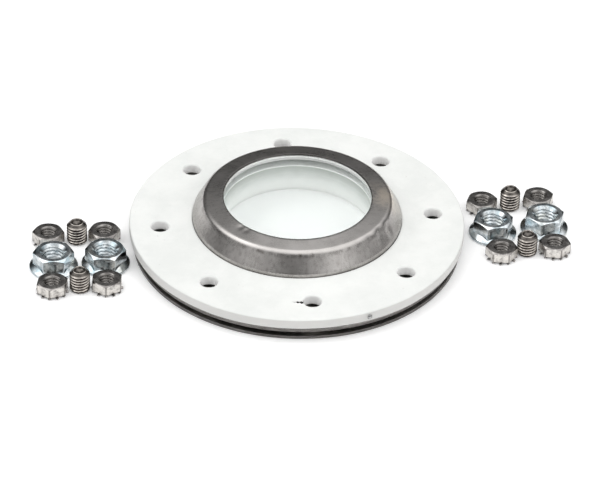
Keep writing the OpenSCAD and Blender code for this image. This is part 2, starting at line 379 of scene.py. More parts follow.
def scene_object(name, contents):
    """A new object in the scene with a mesh, a lamp or a camera in it."""
    made = bpy.data.objects.new(name, contents)
    bpy.context.scene.collection.objects.link(made)
    return made


def grown(mesh, tree, tool_mesh, **values):
    """Runs a tree on a mesh with a tool mesh and returns the plain mesh that comes out."""
    base = scene_object("growing", mesh)
    tool = scene_object("tool", tool_mesh)
    modifier = base.modifiers.new(tree.name, "NODES")
    modifier.node_group = tree
    values["Tool"] = tool
    for item in tree.interface.items_tree:
        label = item.name.replace(" ", "_")
        if item.in_out == "INPUT" and label in values:
            modifier[item.identifier] = values[label]
    result = plain_mesh(base, modifier, tool)
    result.name = mesh.name
    return result


def plain_mesh(base, modifier, tool):
    """The mesh that a modifier makes of the base; the base and the tool are cleared away."""
    bpy.context.view_layer.update()
    seen = base.evaluated_get(bpy.context.evaluated_depsgraph_get())
    result = bpy.data.meshes.new_from_object(seen)
    base.modifiers.remove(modifier)
    bpy.data.objects.remove(base)
    bpy.data.objects.remove(tool)
    return result


# ---------------------------------------------------------------- colours and places of marks

PRESSED_DARK = (0.41, 0.395, 0.38, 1)
PRESSED_LIGHT = (0.51, 0.49, 0.475, 1)
DRAW_STREAK = (0.25, 0.23, 0.22, 1)
BROAD_STREAK = (0.33, 0.31, 0.30, 1)
SCUFF_LINE = (0.10, 0.09, 0.085, 1)
SCUFF = (0.12, 0.105, 0.095, 1)
HEAT_TINT = (0.86, 0.77, 0.66, 1)
FOOT_SHADE = (0.11, 0.10, 0.095, 1)
LIP_HIGHLIGHT = (0.90, 0.89, 0.88, 1)
LIP_SHADE = (0.14, 0.13, 0.125, 1)
RIM_SHADE = (0.085, 0.08, 0.077, 1)
ROLLED_DARK = (0.36, 0.345, 0.33, 1)
ROLLED_LIGHT = (0.48, 0.465, 0.45, 1)
PLATE_BORE_HIGHLIGHT = (0.88, 0.88, 0.87, 1)

BOARD_LIGHT = (0.82, 0.83, 0.81, 1)
BOARD_SHADE = (0.75, 0.765, 0.745, 1)
HOLE_WALL_LIGHT = (0.97, 0.97, 0.96, 1)
BOARD_SIDE_SHADE = (0.56, 0.545, 0.53, 1)
SOFT_FIBRE_LIGHT = (0.95, 0.95, 0.94, 1)
SOFT_FIBRE_SHADE = (0.91, 0.915, 0.905, 1)
RING_TOP_SHADE = (0.50, 0.52, 0.50, 1)
SPECK = (0.36, 0.34, 0.31, 1)
RECESS_SHADE = (0.05, 0.045, 0.04, 1)

GLASS_CLEAR = (1.0, 1.0, 1.0, 1)
GLASS_HAZE = (0.99, 0.997, 0.993, 1)
GLASS_SHADOW = (0.99, 1.0, 0.995, 1)
GLASS_GREEN = (0.55, 0.86, 0.72, 1)

TURNED_DARK = (0.17, 0.16, 0.155, 1)
TURNED_LIGHT = (0.37, 0.355, 0.34, 1)
HARDENED_DARK = (0.20, 0.19, 0.185, 1)
HARDENED_LIGHT = (0.38, 0.36, 0.35, 1)
WARM_DARK = (0.27, 0.25, 0.23, 1)
WARM_LIGHT = (0.54, 0.50, 0.46, 1)
TACK_DARK = (0.16, 0.16, 0.16, 1)
TACK_LIGHT = (0.42, 0.42, 0.42, 1)
FACET = (0.78, 0.75, 0.71, 1)
BRUISED_CORNER = (0.09, 0.08, 0.075, 1)
ZINC_DARK = (0.30, 0.34, 0.36, 1)
ZINC_LIGHT = (0.74, 0.78, 0.80, 1)
ZINC_BLUE = (0.40, 0.54, 0.60, 1)
ZINC_STRAW = (0.74, 0.72, 0.62, 1)

FLOOR_DARK = (0.93, 0.93, 0.93, 1)
FLOOR_LIGHT = (0.95, 0.95, 0.95, 1)


def polar(radius, angle, height):
    """A point in millimetres from its radius, its angle in degrees and its height."""
    turn = math.radians(angle)
    return radius * math.cos(turn), radius * math.sin(turn), height


WALL_FADE = (17.2, 20.0)               # heights between which the wall's streaks fade out
HEAT_TINT_PLACE = polar(33.5, 4, 21)
HEAT_TINT_SIZE = 13.0
SCUFF_BAND = (18.0, 19.2, 19.5, 20.1)  # heights of the broken line under the shoulder
SCUFF_ANGLES = (-112.5, -110.0, -87.6, -80.5)
SCUFF_R = 37.4
SCUFF_Z = 19.4
SCUFF_SIZE = 1.5
TEAR_SHADE_PLACE = (1.4, -54.6, 9.2)         # painted shade inside the tear in the gasket
TEAR_SHADE_SIZE = 3.6

# ---------------------------------------------------------------- materials


class Finish:
    """A material whose pattern is built up one node at a time."""

    def __init__(self, name, **constants):
        self.material = bpy.data.materials.new(name)
        self.material.use_nodes = True
        self.tree = self.material.node_tree
        self.shader = self.tree.nodes["Principled BSDF"]
        for label, value in constants.items():
            self.shader.inputs[label.replace("_", " ")].default_value = value
        self.place = self.add("TexCoord").outputs["Object"]

    def add(self, kind, settings=None, **links):
        """Adds a shader node; each link is a socket or a value for the input of that name."""
        made = self.tree.nodes.new("ShaderNode" + kind)
        for key, value in (settings or {}).items():
            setattr(made, key, value)
        for label, value in links.items():
            connect(self.tree, value, made.inputs[label.replace("_", " ")])
        return made

    def own_place(self):
        """Places as the piece's own attribute has them, about its own axis."""
        return self.add("Attribute", {"attribute_name": "own_place"}).outputs["Vector"]

    def stretched(self, place, scale):
        """Places scaled apart on each axis, so that a pattern on them is drawn out."""
        return self.add("Mapping", Vector=place, Scale=scale).outputs[0]

    def noise(self, place, scale, detail=3.0, rough=0.55):
        """Cloudy noise from about 0.2 to 0.8 at a number of spots to the metre."""
        made = self.add("TexNoise", Vector=place, Scale=scale, Detail=detail, Roughness=rough)
        return made.outputs[0]

    def ramp(self, value, low, high, start=0.0, end=1.0):
        """Eases a value from its low..high range to start..end."""
        made = self.add("MapRange", {"interpolation_type": "SMOOTHSTEP"}, Value=value, From_Min=low,
                        From_Max=high, To_Min=start, To_Max=end)
        return made.outputs["Result"]

    def math(self, operation, first, second=0.0):
        """The outcome of one sum."""
        return computed(self.tree, operation, first, second)

    def product(self, first, *others):
        """All the values multiplied together."""
        for other in others:
            first = self.math("MULTIPLY", first, other)
        return first

    def mix(self, share, first, second):
        """The first colour or value where share is 0, the second where it is 1."""
        made = self.add("Mix", {"data_type": "RGBA"})
        connect(self.tree, share, made.inputs[0])
        connect(self.tree, first, made.inputs[6])
        connect(self.tree, second, made.inputs[7])
        return made.outputs[2]

    def split(self, place):
        """The X, Y and Z of a place."""
        return self.add("SeparateXYZ", Vector=place).outputs

    def wear(self, colour, roughness=None, bump=None, depth=None, strength=None):
        """Connects the pattern to the shader; depth is the bump's height in millimetres."""
        connect(self.tree, colour, self.shader.inputs["Base Color"])
        if roughness is not None:
            connect(self.tree, roughness, self.shader.inputs["Roughness"])
        if bump is not None:
            made = self.add("Bump", Height=bump, Strength=strength, Distance=depth * MM)
            connect(self.tree, made.outputs[0], self.shader.inputs["Normal"])
        return self.material


def near(f, centre, size):
    """1 close to a point of the piece and 0 beyond size, both in millimetres."""
    gap = f.add("VectorMath", {"operation": "DISTANCE"})
    connect(f.tree, f.place, gap.inputs[0])
    gap.inputs[1].default_value = tuple(value * MM for value in centre)
    return f.ramp(gap.outputs["Value"], 0.0, size * MM, 1.0, 0.0)


def flattened(f, place):
    """A place dropped onto the plane of X and Y."""
    x, y, _ = f.split(place)
    return f.add("CombineXYZ", X=x, Y=y).outputs[0]


def from_axis(f, place):
    """Distance of a place from the Z axis."""
    return f.add("VectorMath", {"operation": "LENGTH"}, Vector=flattened(f, place)).outputs["Value"]


def between(f, value, low, full, high, end):
    """Rises from 0 at low to 1 at full, and falls from 1 at high to 0 at end, in millimetres."""
    return f.product(f.ramp(value, low * MM, full * MM), below(f, value, high, end))


def below(f, value, high, end):
    """Falls from 1 at high to 0 at end, both in millimetres."""
    return f.ramp(value, high * MM, end * MM, 1.0, 0.0)


def face_level(f):
    """1 on faces that look straight up or down, and 0 on upright ones."""
    return f.math("ABSOLUTE", f.split(f.add("NewGeometry").outputs["Normal"])[2])


def painted_rim_shade(f, colour):
    """Painted shade on the rim of a flange: darkens its cut face unevenly."""
    rim = f.ramp(from_axis(f, f.place), (FLANGE_R - 0.12) * MM, (FLANGE_R - 0.03) * MM)
    rim_noise = f.noise(f.stretched(f.place, (300, 300, 2600)), 1.0, 3.0)
    ragged = f.ramp(rim_noise, 0.3, 0.7, 0.65, 0.95)
    return f.mix(f.product(rim, ragged), colour, RIM_SHADE)


def pressed_steel():
    """Satin pressed stainless sheet: draw streaks down the wall, rolled grain, scuffs, heat tint; painted
    shade at the dome's foot and on the flange's rim, and a painted highlight and painted shade on the
    opening's lip.
    """
    f = Finish("pressed_stainless", Metallic=1.0)
    z = f.split(f.place)[2]
    drawn = drawn_place(f, z)
    streaks = f.noise(drawn, 34.0, 5.0, 0.7)
    broad = f.noise(drawn, 7.0, 2.0)
    clouds = f.noise(f.place, 95.0, 4.0, 0.6)
    grain = f.noise(f.stretched(f.place, (260, 5200, 900)), 1.0, 2.0)

    on_wall = below(f, z, *WALL_FADE)
    colour = f.mix(f.ramp(clouds, 0.3, 0.7), PRESSED_DARK, PRESSED_LIGHT)
    colour = f.mix(f.product(f.ramp(streaks, 0.45, 0.66), on_wall, 0.5), colour, DRAW_STREAK)
    broad_share = f.product(f.ramp(broad, 0.45, 0.62), f.ramp(on_wall, 0.0, 1.0, 0.08, 0.35))
    colour = f.mix(broad_share, colour, BROAD_STREAK)
    colour = scuffed(f, colour, drawn, z)

    heated = f.product(near(f, HEAT_TINT_PLACE, HEAT_TINT_SIZE), f.ramp(clouds, 0.35, 0.6))
    colour = f.mix(f.product(heated, 0.85), colour, HEAT_TINT)
    # Painted shade: darkens the dome's foot where it meets the gasket
    level = f.math("ADD", z, f.product(clouds, 0.8 * MM))
    foot_shade_share = between(f, level, GASKET_HIGH - 2.5, GASKET_HIGH - 0.5, GASKET_HIGH, GASKET_HIGH + 1.4)
    colour = f.mix(f.product(foot_shade_share, 0.75), colour, FOOT_SHADE)
    colour = painted_rim_shade(f, colour)

    # Painted highlight and painted shade on the opening's lip: a dark line along its top, a bright line
    # below it
    lip = below(f, from_axis(f, f.place), OPENING_R + 0.25, OPENING_R + 0.5)
    lip_top = f.ramp(z, (BEZEL_TOP - 0.55) * MM, (BEZEL_TOP - 0.35) * MM)
    colour = f.mix(lip, colour, f.mix(lip_top, LIP_HIGHLIGHT, LIP_SHADE))
    roughness = f.add("MapRange", Value=f.mix(0.5, grain, clouds), To_Min=0.20, To_Max=0.37)
    bump = f.math("ADD", grain, f.product(streaks, 1.5))
    return f.wear(colour, roughness.outputs[0], bump, depth=0.02, strength=0.25)


def drawn_place(f, z):
    """Places that run round the dome and only slowly up it, as the marks of drawing do."""
    around = f.add("VectorMath", {"operation": "NORMALIZE"}, Vector=flattened(f, f.place))
    height = f.add("CombineXYZ", Z=f.product(z, 18.0))
    place = f.add("VectorMath", {"operation": "ADD"})
    connect(f.tree, around.outputs[0], place.inputs[0])
    connect(f.tree, height.outputs[0], place.inputs[1])
    return place.outputs[0]


def scuffed(f, colour, drawn, z):
    """Short dark scuffs in a broken line just under the shoulder, as the die leaves them."""
    broken = f.ramp(f.noise(drawn, 11.0, 5.0, 0.8), 0.42, 0.62)
    share = f.product(between(f, z, *SCUFF_BAND), broken, 0.55)
    colour = f.mix(share, colour, SCUFF_LINE)
    ragged = f.ramp(f.noise(f.place, 900.0, 3.0, 0.7), 0.38, 0.62, 0.1, 0.9)
    for angle in SCUFF_ANGLES:
        place = polar(SCUFF_R, angle, SCUFF_Z)
        colour = f.mix(f.product(near(f, place, SCUFF_SIZE), ragged), colour, SCUFF)
    return colour


def rolled_plate():
    """Dull rolled stainless sheet of the back plate, with painted shade on its rim and a painted highlight
    round its bore.
    """
    f = Finish("rolled_plate", Metallic=1.0)
    clouds = f.noise(f.place, 120.0, 4.0, 0.6)
    grain = f.noise(f.stretched(f.place, (180, 3600, 400)), 1.0, 2.0)
    colour = f.mix(f.ramp(clouds, 0.3, 0.7), ROLLED_DARK, ROLLED_LIGHT)
    colour = painted_rim_shade(f, colour)
    # Painted highlight: lightens the edge of the bore
    bore = below(f, from_axis(f, f.place), PLATE_BORE_R + 0.15, PLATE_BORE_R + 0.5)
    colour = f.mix(bore, colour, PLATE_BORE_HIGHLIGHT)
    roughness = f.ramp(f.mix(0.6, clouds, grain), 0.2, 0.8, 0.30, 0.48)
    return f.wear(colour, roughness, grain, depth=0.015, strength=0.25)


def fibre_board(name, light, shade, soil):
    """Matt white ceramic fibre: soft mottle, a felted surface and a few specks of soil."""
    f = Finish(name, Specular_IOR_Level=0.25, Sheen_Weight=0.12)
    mottle = f.noise(f.place, 60.0, 5.0, 0.65)
    felt = f.noise(f.place, 1500.0, 3.0, 0.7)
    lumps = f.noise(f.place, 420.0, 3.0, 0.6)
    strands = f.noise(f.stretched(f.place, (900, 5200, 2600)), 1.0, 2.0)
    colour = f.mix(f.ramp(mottle, 0.3, 0.7), shade, light)
    specks = f.ramp(f.noise(f.place, 640.0, 2.0), 0.73, 0.78)
    colour = f.mix(f.product(specks, soil), colour, SPECK)
    roughness = f.ramp(lumps, 0.2, 0.8, 0.86, 0.97)
    bump = f.math("ADD", f.product(lumps, 2.0), f.math("ADD", felt, strands))
    return f, colour, roughness, bump


def gasket_fibre():
    """The gasket's board: painted light whitens the walls of its holes, painted shade darkens its outer
    side and the inside of the tear.
    """
    f, colour, roughness, bump = fibre_board("gasket_board", BOARD_LIGHT, BOARD_SHADE, 0.25)
    x, _, z = f.split(f.place)
    out = from_axis(f, f.place)
    level = face_level(f)
    # Painted light: whitens upright faces within 60 mm of the axis, the walls of the stud holes, the bore
    # and the tear
    hole_wall_light = f.product(f.ramp(level, 0.35, 0.9, 1.0, 0.0), below(f, out, 60, 62))
    colour = f.mix(hole_wall_light, colour, HOLE_WALL_LIGHT)
    # Painted shade: darkens the gasket's outer side
    side = f.product(f.ramp(level, 0.2, 0.8, 1.0, 0.0), f.ramp(out, 64.5 * MM, 65.3 * MM))
    colour = f.mix(f.product(side, 0.6), colour, BOARD_SIDE_SHADE)
    # Painted shade: darkens the inside of the tear
    in_tear = below(f, z, GASKET_TOP - 0.4, GASKET_TOP - 0.15)
    tear_shade = f.product(near(f, TEAR_SHADE_PLACE, TEAR_SHADE_SIZE), in_tear, below(f, x, 3.6, 4.2), 2.0)
    colour = f.mix(tear_shade, colour, RECESS_SHADE)
    return f.wear(colour, roughness, bump, depth=0.06, strength=0.55)


def soft_fibre(name, shaded_from=None):
    """Softer white fibre of the ring and the seal; painted shade greys it from a height up to the glass."""
    f, colour, roughness, bump = fibre_board(name, SOFT_FIBRE_LIGHT, SOFT_FIBRE_SHADE, 0.1)
    if shaded_from is not None:
        # Painted shade: greys the ring's wall towards the glass, leaving the face under the glass alone
        z = f.split(f.place)[2]
        uneven = f.product(f.noise(f.place, 260.0, 4.0, 0.7), 3.0 * MM)
        rising = f.ramp(f.math("ADD", z, uneven), shaded_from * MM, (GLASS_LOW + 1.5) * MM)
        top_shade = f.product(rising, below(f, z, GLASS_LOW - 0.7, GLASS_LOW - 0.3))
        colour = f.mix(top_shade, colour, RING_TOP_SHADE)
    return f.wear(colour, roughness, bump, depth=0.04, strength=0.45)


def sight_glass():
    """Clear soda-lime glass, faintly green through its thickness, with light wiping marks."""
    f = Finish("clear_glass", Transmission_Weight=1.0, IOR=1.52)
    haze = f.noise(f.stretched(f.place, (90, 260, 90)), 1.0, 3.0)
    colour = f.mix(f.ramp(haze, 0.35, 0.7), GLASS_CLEAR, GLASS_HAZE)
    f.wear(colour, f.ramp(haze, 0.45, 0.8, 0.0, 0.03))
    clear = f.add("BsdfTransparent", Color=GLASS_SHADOW)
    rays = f.add("LightPath")
    both = f.add("MixShader")
    connect(f.tree, rays.outputs["Is Shadow Ray"], both.inputs[0])
    connect(f.tree, f.shader.outputs[0], both.inputs[1])
    connect(f.tree, clear.outputs[0], both.inputs[2])
    output = f.tree.nodes["Material Output"]
    connect(f.tree, both.outputs[0], output.inputs["Surface"])
    green = f.add("VolumeAbsorption", Color=GLASS_GREEN, Density=7.0)
    connect(f.tree, green.outputs[0], output.inputs["Volume"])
    return f.material


def machined(name, dark, light, polish, ring_scale, facet_share, recess=None, corner=None):
    """Turned steel: fine rings about its own axis on turned faces, duller and paler on flats.
    Polish is the roughness where it is smooth and where it is dull. Recess is the radius range
    below which painted shade darkens the piece, and the height of the rim above which it stops. Corner is
    the radius of a hexagon's corners, which are bruised dark."""
    f = Finish(name, Metallic=1.0)
    own = f.own_place()
    z = f.split(own)[2]
    out = from_axis(f, own)
    rings = f.noise(f.add("CombineXYZ", X=out, Y=z).outputs[0], ring_scale, 2.0)
    clouds = f.noise(f.place, 480.0, 4.0, 0.65)
    bruises = f.ramp(f.noise(f.place, 1300.0, 3.0), 0.60, 0.72)
    on_flat = f.product(f.ramp(face_level(f), 0.1, 0.4, 1.0, 0.0), facet_share)

    colour = f.mix(f.ramp(clouds, 0.3, 0.7), dark, light)
    colour = f.mix(f.product(on_flat, f.ramp(clouds, 0.2, 0.6)), colour, FACET)
    colour = f.mix(f.product(bruises, 0.35), colour, dark)
    if corner:
        worn = f.ramp(out, corner * 0.955 * MM, corner * 0.985 * MM)
        colour = f.mix(f.product(worn, 0.7), colour, BRUISED_CORNER)
    # Painted shade: darkens everything inside the recess radius below the rim, the bore, socket, cup and
    # thread roots
    if recess:
        inner, outer, rim = recess
        shaded_recess = f.product(below(f, out, inner, outer), below(f, z, rim - 0.1, rim))
        colour = f.mix(f.product(shaded_recess, 0.8), colour, RECESS_SHADE)

    roughness = f.ramp(f.mix(0.5, rings, clouds), 0.3, 0.7, *polish)
    roughness = f.math("ADD", roughness, f.product(on_flat, 0.18))
    return f.wear(colour, roughness, f.math("ADD", rings, f.product(clouds, 0.6)), depth=0.02, strength=0.3)


def blue_zinc():
    """Clear blue zinc plate: bright, with cloudy blue and straw tones and drawing lines."""
    f = Finish("blue_zinc", Metallic=1.0)
    clouds = f.noise(f.stretched(f.place, (430, 240, 520)), 1.0, 3.0, 0.6)
    tones = f.noise(f.place, 170.0, 3.0, 0.6)
    lines = f.noise(f.stretched(f.own_place(), (2400, 2400, 260)), 1.0, 2.0)
    colour = f.mix(f.ramp(clouds, 0.3, 0.7), ZINC_DARK, ZINC_LIGHT)
    colour = f.mix(f.product(f.ramp(tones, 0.52, 0.68), 0.5), colour, ZINC_BLUE)
    colour = f.mix(f.product(f.ramp(tones, 0.46, 0.34), 0.3), colour, ZINC_STRAW)
    roughness = f.ramp(f.mix(0.5, clouds, lines), 0.3, 0.7, 0.06, 0.22)
    return f.wear(colour, roughness, f.math("ADD", lines, clouds), depth=0.02, strength=0.3)


# ---------------------------------------------------------------- the stack


# Places (radius, angle in degrees), sizes and depths of the bezel's shallow dents, and how deep
# its slow waves are
CROWN_DENTS = [((30.6, -134.4), 1.3, 0.20), ((30.8, -129.0), 1.2, 0.16)]
SHOULDER_DENTS = [((38.2, -22.0), 1.5, 0.30), ((38.0, -26.5), 1.4, -0.14),
                  ((37.8, -31.0), 1.8, 0.32), ((37.4, -36.5), 1.5, -0.10),
                  ((37.6, -41.0), 1.6, 0.18), ((38.0, -104.0), 2.0, 0.10),
                  ((38.0, -78.0), 2.4, 0.08)]
DOME_FADE = (13.0, 17.0)   # heights between which the dents and waves set in
WALL_WAVE = 0.07
CROWN_WAVE = 0.05


def bezel_mesh():
    """The dome and its flange: one pressed sheet, with small dents and a crease at the shoulder."""
    slope = math.degrees(math.atan2(CROWN_DROP, SHOULDER_R - OPENING_R))
    shoulder = (SHOULDER_R, BEZEL_TOP - CROWN_DROP - BEND_R)
    lean = math.degrees(math.atan2(WALL_R - BEND_R - SHOULDER_R, shoulder[1] - WALL_TOP))
    nose = 0.3
    line = np.concatenate([
        [[OPENING_R + nose, BEZEL_TOP]],
        arc(shoulder, BEND_R, 90 - slope, lean, 14),
        arc((WALL_R - BEND_R, WALL_TOP), BEND_R, lean, 0, 8),
        arc((WALL_R + FOOT_R, FLANGE_TOP + FOOT_R), FOOT_R, 180, 270, 10),
        [[FLANGE_R - nose, FLANGE_TOP]]])
    outline = sheet_outline(filled(line, 0.9), SHEET, nose)

    def dents(radius, height, angle):
        on_dome = eased(height, *DOME_FADE)
        for place, size, depth in CROWN_DENTS:
            height = height - depth * on_dome * spot_weight(radius, angle, place, size)
        for place, size, depth in SHOULDER_DENTS:
            radius = radius - depth * on_dome * spot_weight(radius, angle, place, size)
        radius = radius + WALL_WAVE * on_dome * waves(angle, 5, 2, 9)
        height = height - CROWN_WAVE * on_dome * (1 + waves(angle, 6, 2, 7))
        return radius, height

    return lathed("bezel_shell", outline, BEZEL_COLUMNS, dents)


# Places and sizes of the soft fold at the back of the gasket, and how deep the fold, the sag of
# the outer edge, the board's slow waves and the unevenness of the hand cut are
FOLD = [((60.0, 79.0), 1.2), ((62.4, 76.0), 1.2), ((57.8, 82.4), 1.1)]
FOLD_DEPTH = 0.22
EDGE_SAG = 0.16
EDGE_BAND = 4.0            # how far in from the outer edge it sags
BOARD_WAVE = 0.10
HAND_CUT = 0.30


def gasket_mesh():
    """A soft flat ring that rides up the dome's foot, cut slightly uneven by hand."""
    outline = closed_ring([
        (GASKET_BORE_R, GASKET_LOW, 0.25),
        (GASKET_R, GASKET_LOW, 0.5),
        (GASKET_R, GASKET_TOP, 0.9),
        (GASKET_BORE_R, GASKET_TOP, 0.4)], steps=5, longest=0.75)
    rise = GASKET_HIGH - GASKET_LOW - GASKET_T

    def soften(radius, height, angle):
        towards_dome = 1 - eased(radius, GASKET_BORE_R - 1, GASKET_BORE_R + RISE_W)
        edge = eased(radius, GASKET_R - EDGE_BAND, GASKET_R)
        upper = eased(height, GASKET_LOW, GASKET_TOP)
        height = height + rise * towards_dome
        height = height - EDGE_SAG * edge * upper * (1 + waves(angle, 3, 3, 30))
        height = height + BOARD_WAVE * waves(angle, 8, 2, 12) * (1 - towards_dome) * upper
        radius = radius - HAND_CUT * edge * (1 + waves(angle, 4, 2, 46))
        fold = sum(spot_weight(radius, angle, place, size) for place, size in FOLD)
        return radius, height - FOLD_DEPTH * upper * np.clip(fold, 0, 1)

    return lathed("gasket_ring", outline, GASKET_COLUMNS, soften)


# Outline of the tear beside the front hole, seen from above
TEAR = [(4.6, -53.4), (3.7, -53.4), (3.1, -54.0), (2.4, -53.7), (1.7, -54.2), (0.9, -53.8),
        (0.2, -54.3), (-1.4, -54.4), (-0.2, -54.9), (0.5, -54.7), (1.2, -55.4), (1.9, -54.9),
        (2.6, -55.7), (3.3, -55.3), (4.6, -55.6)]


def tear_cutter(low, high):
    """A thin ragged wedge that tears the board open from its upper face."""
    count = len(TEAR)
    narrowing = (0.95, 0.8)
    middle = np.mean(TEAR, axis=0)
    lower = [(*(middle + (np.array(place) - middle) * narrowing), low) for place in TEAR]
    upper = [(*place, high) for place in TEAR]
    faces = [tuple(range(count)), tuple(range(2 * count - 1, count - 1, -1))]
    faces += [(k, k + count, (k + 1) % count + count, (k + 1) % count) for k in range(count)]
    return solid_mesh("tear_wedge", lower + upper, faces)


def torn(mesh, low, high):
    """The mesh with the tear cut into it."""
    base = scene_object("tearing", mesh)
    wedge = scene_object("wedge", tear_cutter(low, high))
    cut = base.modifiers.new("tear", "BOOLEAN")
    cut.operation = "DIFFERENCE"
    cut.solver = "MANIFOLD"
    cut.object = wedge
    return plain_mesh(base, cut, wedge)


def hole_cutter(low, high, ease):
    """A plug for one stud hole, flared at the two faces so that the hole's edges are eased."""
    beyond = 1.5
    wide = STUD_HOLE_R + ease
    line = np.concatenate([
        [[wide, low - beyond], [wide, low]],
        arc((wide, low + ease), ease, 270, 180, 4),
        arc((wide, high - ease), ease, 180, 90, 4),
        [[wide, high], [wide, high + beyond]]])
    return turned_line("hole_plug", line, PLUG_COLUMNS)


def with_stud_holes(mesh, tree, finish, low, high, ease):
    """The mesh with its circle of stud holes cut through."""
    return grown(mesh, tree, hole_cutter(low, high, ease), Count=STUD_COUNT,
                 Circle_radius=STUD_CIRCLE_R * MM, Phase=math.radians(STUD_PHASE), Finish=finish)


def tack_mesh():
    """A small round head with a short neck that runs into the gasket's edge."""
    neck_r, tip_r, tip_h, depth = 0.5, 0.3, 0.3, 1.6
    rim = 0.2
    line = np.concatenate([
        [[tip_r, -depth], [neck_r, -depth + tip_h], [neck_r, 0.0]],
        arc((TACK_HEAD_R - rim, rim), rim, 270, 360, 3),
        [[TACK_HEAD_R * math.cos(t), rim + (TACK_HEAD_H - rim) * math.sin(t)]
         for t in np.radians([20, 40, 60, 75, 85])]])
    mesh = turned_line("tack", line, TACK_COLUMNS)
    at_edge = Matrix.Translation((GASKET_R * MM, 0, (GASKET_LOW + GASKET_T / 2) * MM))
    out = Matrix.Rotation(math.radians(TACK_ANGLE), 4, "Z")
    mesh.transform(out @ at_edge @ Matrix.Rotation(math.pi / 2, 4, "Y"))
    return mesh


def finished(name, mesh, finish, body, nodes):
    """Makes the piece from its mesh, puts it under its body's empty and hides the CAD nodes it stands for.
    """
    mesh.polygons.foreach_set("use_smooth", [True] * len(mesh.polygons))
    mesh.set_sharp_from_angle(angle=math.radians(CREASE_ANGLE))
    mesh.materials.clear()
    mesh.materials.append(finish)
    piece = scene_object(name, mesh)
    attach(piece, body)
    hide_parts(*nodes)


def build_plate(cut):
    """The back plate, the lowest layer."""
    outline = closed_ring([(PLATE_BORE_R, PLATE_LOW, 0.12), (FLANGE_R, PLATE_LOW, 0.15),
                           (FLANGE_R, PLATE_TOP, 0.2), (PLATE_BORE_R, PLATE_TOP, 0.12)])
    finish = rolled_plate()
    mesh = lathed("plate_ring", outline, PLATE_COLUMNS)
    mesh = with_stud_holes(mesh, cut, finish, PLATE_LOW, PLATE_TOP, EDGE_EASE)
    finished("back_plate_sheet", mesh, finish, "plate", ["back_plate"])


def build_support_ring():
    """The fibre ring under the glass. It stops just short of the glass, so that no faces coincide."""
    outer, top = reach("support_ring"), SUPPORT_TOP - 0.04
    outline = closed_ring([(SUPPORT_BORE_R, SUPPORT_LOW, 0.3), (outer, SUPPORT_LOW, 0.3),
                           (outer, top, 0.3), (SUPPORT_BORE_R, top, 0.3)], longest=1.2)
    mesh = lathed("support", outline, RING_COLUMNS,
                  lambda radius, height, angle: (radius + 0.06 * waves(angle, 12, 3, 20), height))
    finish = soft_fibre("support_fibre", SUPPORT_LOW + 3)
    finished("fibre_support_ring", mesh, finish, "support", ["support_ring"])


def build_glass():
    """The disc, with ground bevels at both edges."""
    outer, bevel, hub = reach("glass"), 0.45, 0.5
    line = rounded([(hub, GLASS_LOW, 0), (outer - bevel, GLASS_LOW, 0.1),
                    (outer, GLASS_LOW + bevel, 0.1), (outer, GLASS_TOP - bevel, 0.1),
                    (outer - bevel, GLASS_TOP, 0.1), (hub, GLASS_TOP, 0)])
    mesh = turned_line("glass_disc", line, RING_COLUMNS)
    finished("glass_disc", mesh, sight_glass(), "glass_disc", ["glass"])


def build_seal():
    """The seal between glass and dome. Its top falls outwards as the dome's underside does."""
    outer, low, top = reach("top_seal"), SEAL_LOW + 0.02, SEAL_TOP - 0.08
    drop = CROWN_DROP * (outer - SEAL_BORE_R) / (SHOULDER_R - OPENING_R)
    outline = closed_ring([(SEAL_BORE_R, low, 0.2), (outer, low, 0.2),
                           (outer, top - drop, 0.2), (SEAL_BORE_R, top, 0.2)], longest=1.0)
    mesh = lathed("seal", outline, RING_COLUMNS,
                  lambda radius, height, angle: (radius + 0.08 * waves(angle, 15, 4, 30), height))
    finished("seal_ring", mesh, soft_fibre("seal_sheet"), "seal", ["top_seal"])


def build_stack():
    """Everything on the common axis, from the back plate up."""
    cut = circle_tree("stud_holes", "DIFFERENCE")
    build_plate(cut)
    build_support_ring()
    build_glass()
    build_seal()

    finish = pressed_steel()
    mesh = with_stud_holes(bezel_mesh(), cut, finish, BEZEL_LOW, FLANGE_TOP, EDGE_EASE)
    finished("bezel_dome", mesh, finish, "bezel_shell", ["bezel"])

    finish = gasket_fibre()
    mesh = with_stud_holes(gasket_mesh(), cut, finish, GASKET_LOW, GASKET_TOP, BOARD_EASE)
    mesh = torn(mesh, GASKET_TOP - TEAR_DEPTH, GASKET_TOP + 1)
    finished("fibre_gasket", mesh, finish, "gasket_sheet", ["gasket"])

    bright = machined("tack_bright", TACK_DARK, TACK_LIGHT, (0.12, 0.25), 900.0, 0.0)
    finished("edge_tack", tack_mesh(), bright, "gasket_sheet", ["gasket_tack"])


# ---------------------------------------------------------------- nuts, washers and screws


def hexagon(across_flats):
    """Radius of a hexagon with slightly eased corners, one value for each column."""
    crispness = 90
    angles = column_angles(HARDWARE_COLUMNS)[:, None]
    flats = np.radians(30 + 60 * np.arange(6))[None, :]
    facing = np.clip(np.cos(angles - flats), 0, None) ** crispness
    return across_flats / 2 / facing.sum(axis=1) ** (1 / crispness)


def levels(start, end, count):
    """Evenly spaced heights, each repeated for every column."""
    return np.linspace(start, end, count)[:, None] + np.zeros(HARDWARE_COLUMNS)[None, :]


def thread_reach(height, pitch, depth):
    """How far a right-hand 60 degree thread reaches at each height and column: 0 at its root."""
    flat = 0.14
    turn = column_angles(HARDWARE_COLUMNS) / (2 * math.pi)
    phase = (height / pitch - turn) % 1.0
    ridge = np.abs(2 * phase - 1)
    return depth * np.clip((ridge - flat) / (1 - 2 * flat), 0, 1)


